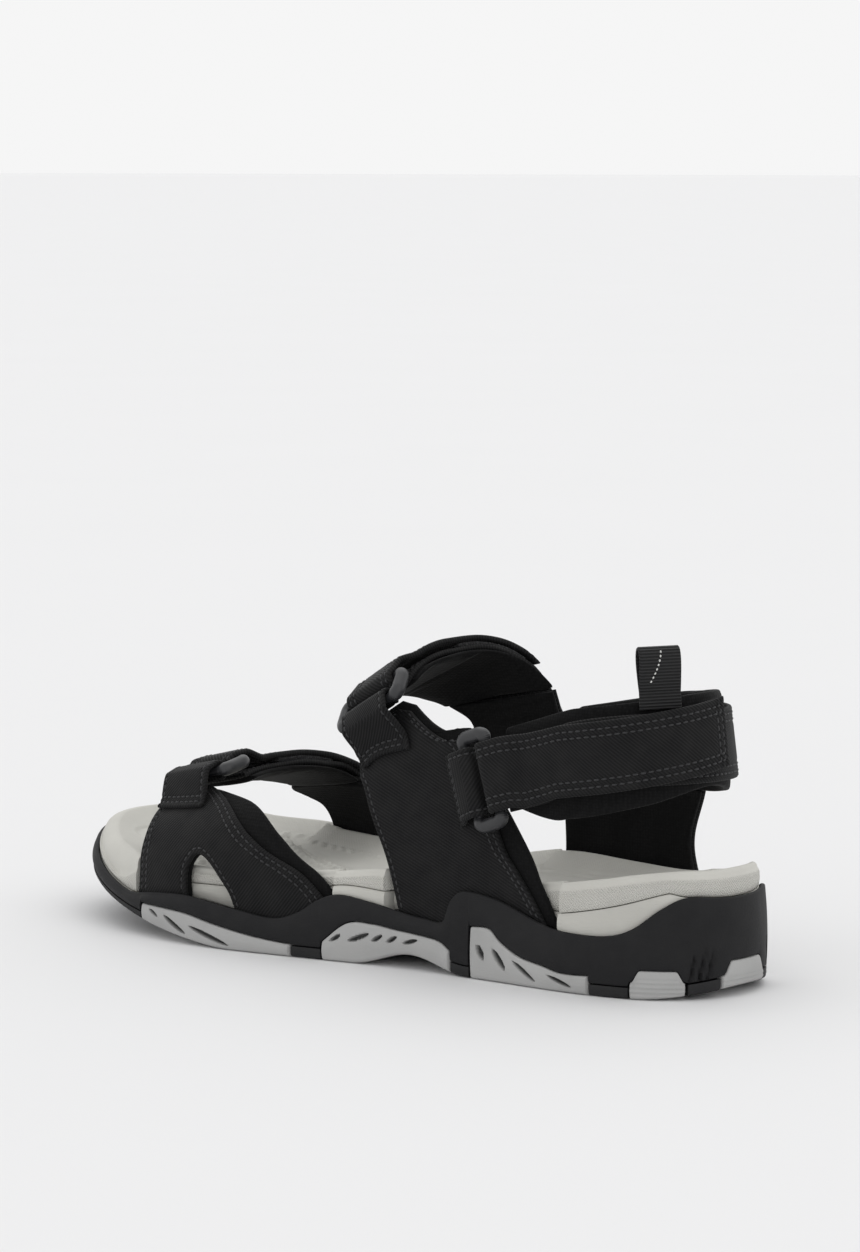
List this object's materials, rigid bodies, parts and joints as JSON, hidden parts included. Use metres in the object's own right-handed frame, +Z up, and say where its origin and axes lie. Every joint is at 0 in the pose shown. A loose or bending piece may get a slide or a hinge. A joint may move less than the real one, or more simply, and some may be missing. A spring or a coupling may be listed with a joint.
{
  "type": "strappy sport sandal",
  "caption": "Left strappy sport sandal: contoured footbed in a cup sole with rubber pods, fabric panels, and hook-and-loop straps turned back through plastic rings.",
  "frame": {"origin": "middle of the sandal's box, on the plane that the tread stands on", "axes": "+X from heel to toe, +Y to the outer (lateral) side, +Z up"},
  "size_m": [0.2916, 0.1071, 0.1153],
  "materials": {
    "black_foam": "matt moulded foam rubber with a fine grain",
    "footbed_foam": "soft matt foam with moulded texture",
    "grey_foam": "soft matt foam",
    "black_rubber": "matt tread rubber",
    "grey_rubber": "satin moulded rubber",
    "black_twill": "matt twill, stitched",
    "black_lining": "padded knit",
    "black_webbing": "ribbed webbing",
    "loop_patch": "loop pile",
    "hook_patch": "moulded hooks",
    "ring_plastic": "satin moulded plastic"
  },
  "bodies": {
    "sole_and_upper": {"cup_sole": "black_foam", "footbed": "footbed_foam", "midsole_core": "grey_foam", "tread": "black_rubber", "pod_forefoot_lateral": "grey_rubber", "pod_forefoot_medial": "grey_rubber", "pod_waist_lateral": "grey_rubber", "pod_waist_medial": "grey_rubber", "pod_rear_lateral": "grey_rubber", "pod_rear_medial": "grey_rubber", "pod_heel_corner_lateral": "grey_rubber", "pod_heel_corner_medial": "grey_rubber", "pod_heel_rear": "grey_rubber", "vamp_lateral_outer": "black_twill", "vamp_medial_outer": "black_twill", "quarter_lateral_outer": "black_twill", "quarter_medial_outer": "black_twill", "heel_panel_outer": "black_twill", "vamp_lateral_lining": "black_lining", "vamp_medial_lining": "black_lining", "quarter_lateral_lining": "black_lining", "quarter_medial_lining": "black_lining", "heel_panel_lining": "black_lining", "heel_collar": "black_lining", "forefoot_strap_base": "black_twill", "forefoot_ring_tab": "black_twill", "forefoot_loop_patch": "loop_patch", "forefoot_strap_pad": "black_lining", "instep_strap_base": "black_twill", "instep_ring_tab": "black_twill", "instep_loop_patch": "loop_patch", "instep_strap_pad": "black_lining", "heel_strap_base": "black_twill", "heel_ring_tab": "black_twill", "heel_loop_patch": "loop_patch", "pull_tab_root": "black_webbing"},
    "forefoot_ring_body": {"forefoot_ring": "ring_plastic"},
    "forefoot_flap_body": {"forefoot_flap": "black_twill", "forefoot_hook_patch": "hook_patch"},
    "instep_ring_body": {"instep_ring": "ring_plastic"},
    "instep_flap_body": {"instep_flap": "black_twill", "instep_hook_patch": "hook_patch"},
    "heel_ring_body": {"heel_ring": "ring_plastic"},
    "heel_flap_body": {"heel_flap": "black_twill", "heel_hook_patch": "hook_patch"},
    "pull_tab_body": {"pull_tab_loop": "black_webbing"}
  },
  "joints": [
    {"name": "forefoot_ring_hinge", "type": "hinge", "parent": "sole_and_upper", "child": "forefoot_ring_body", "pos_m": [0.07379, 0.02827, 0.05603], "axis": [-0.9705, 0.1008, 0.2189], "range_deg": [0, 25]},
    {"name": "forefoot_flap_hinge", "type": "hinge", "parent": "forefoot_ring_body", "child": "forefoot_flap_body", "pos_m": [0.07328, 0.01891, 0.05808], "axis": [-0.9705, 0.1008, 0.2189], "range_deg": [0, 115]},
    {"name": "instep_ring_hinge", "type": "hinge", "parent": "sole_and_upper", "child": "instep_ring_body", "pos_m": [-0.0114, 0.03442, 0.08628], "axis": [-0.8681, 0.0683, 0.4918], "range_deg": [0, 25]},
    {"name": "instep_flap_hinge", "type": "hinge", "parent": "instep_ring_body", "child": "instep_flap_body", "pos_m": [-0.00844, 0.02768, 0.09244], "axis": [-0.8681, 0.0683, 0.4918], "range_deg": [0, 115]},
    {"name": "heel_ring_hinge", "type": "hinge", "parent": "sole_and_upper", "child": "heel_ring_body", "pos_m": [-0.06089, 0.04018, 0.06664], "axis": [-0.3282, 0.0666, -0.9423], "range_deg": [0, 25]},
    {"name": "heel_flap_hinge", "type": "hinge", "parent": "heel_ring_body", "child": "heel_flap_body", "pos_m": [-0.06996, 0.04007, 0.06979], "axis": [-0.3282, 0.0666, -0.9423], "range_deg": [0, 115]},
    {"name": "pull_tab_hinge", "type": "hinge", "parent": "sole_and_upper", "child": "pull_tab_body", "pos_m": [-0.12264, 0.01848, 0.09977], "axis": [-0.5573, -0.8303, 0], "range_deg": [-35, 40], "stiffness_Nm_per_rad": 0.002}
  ]
}
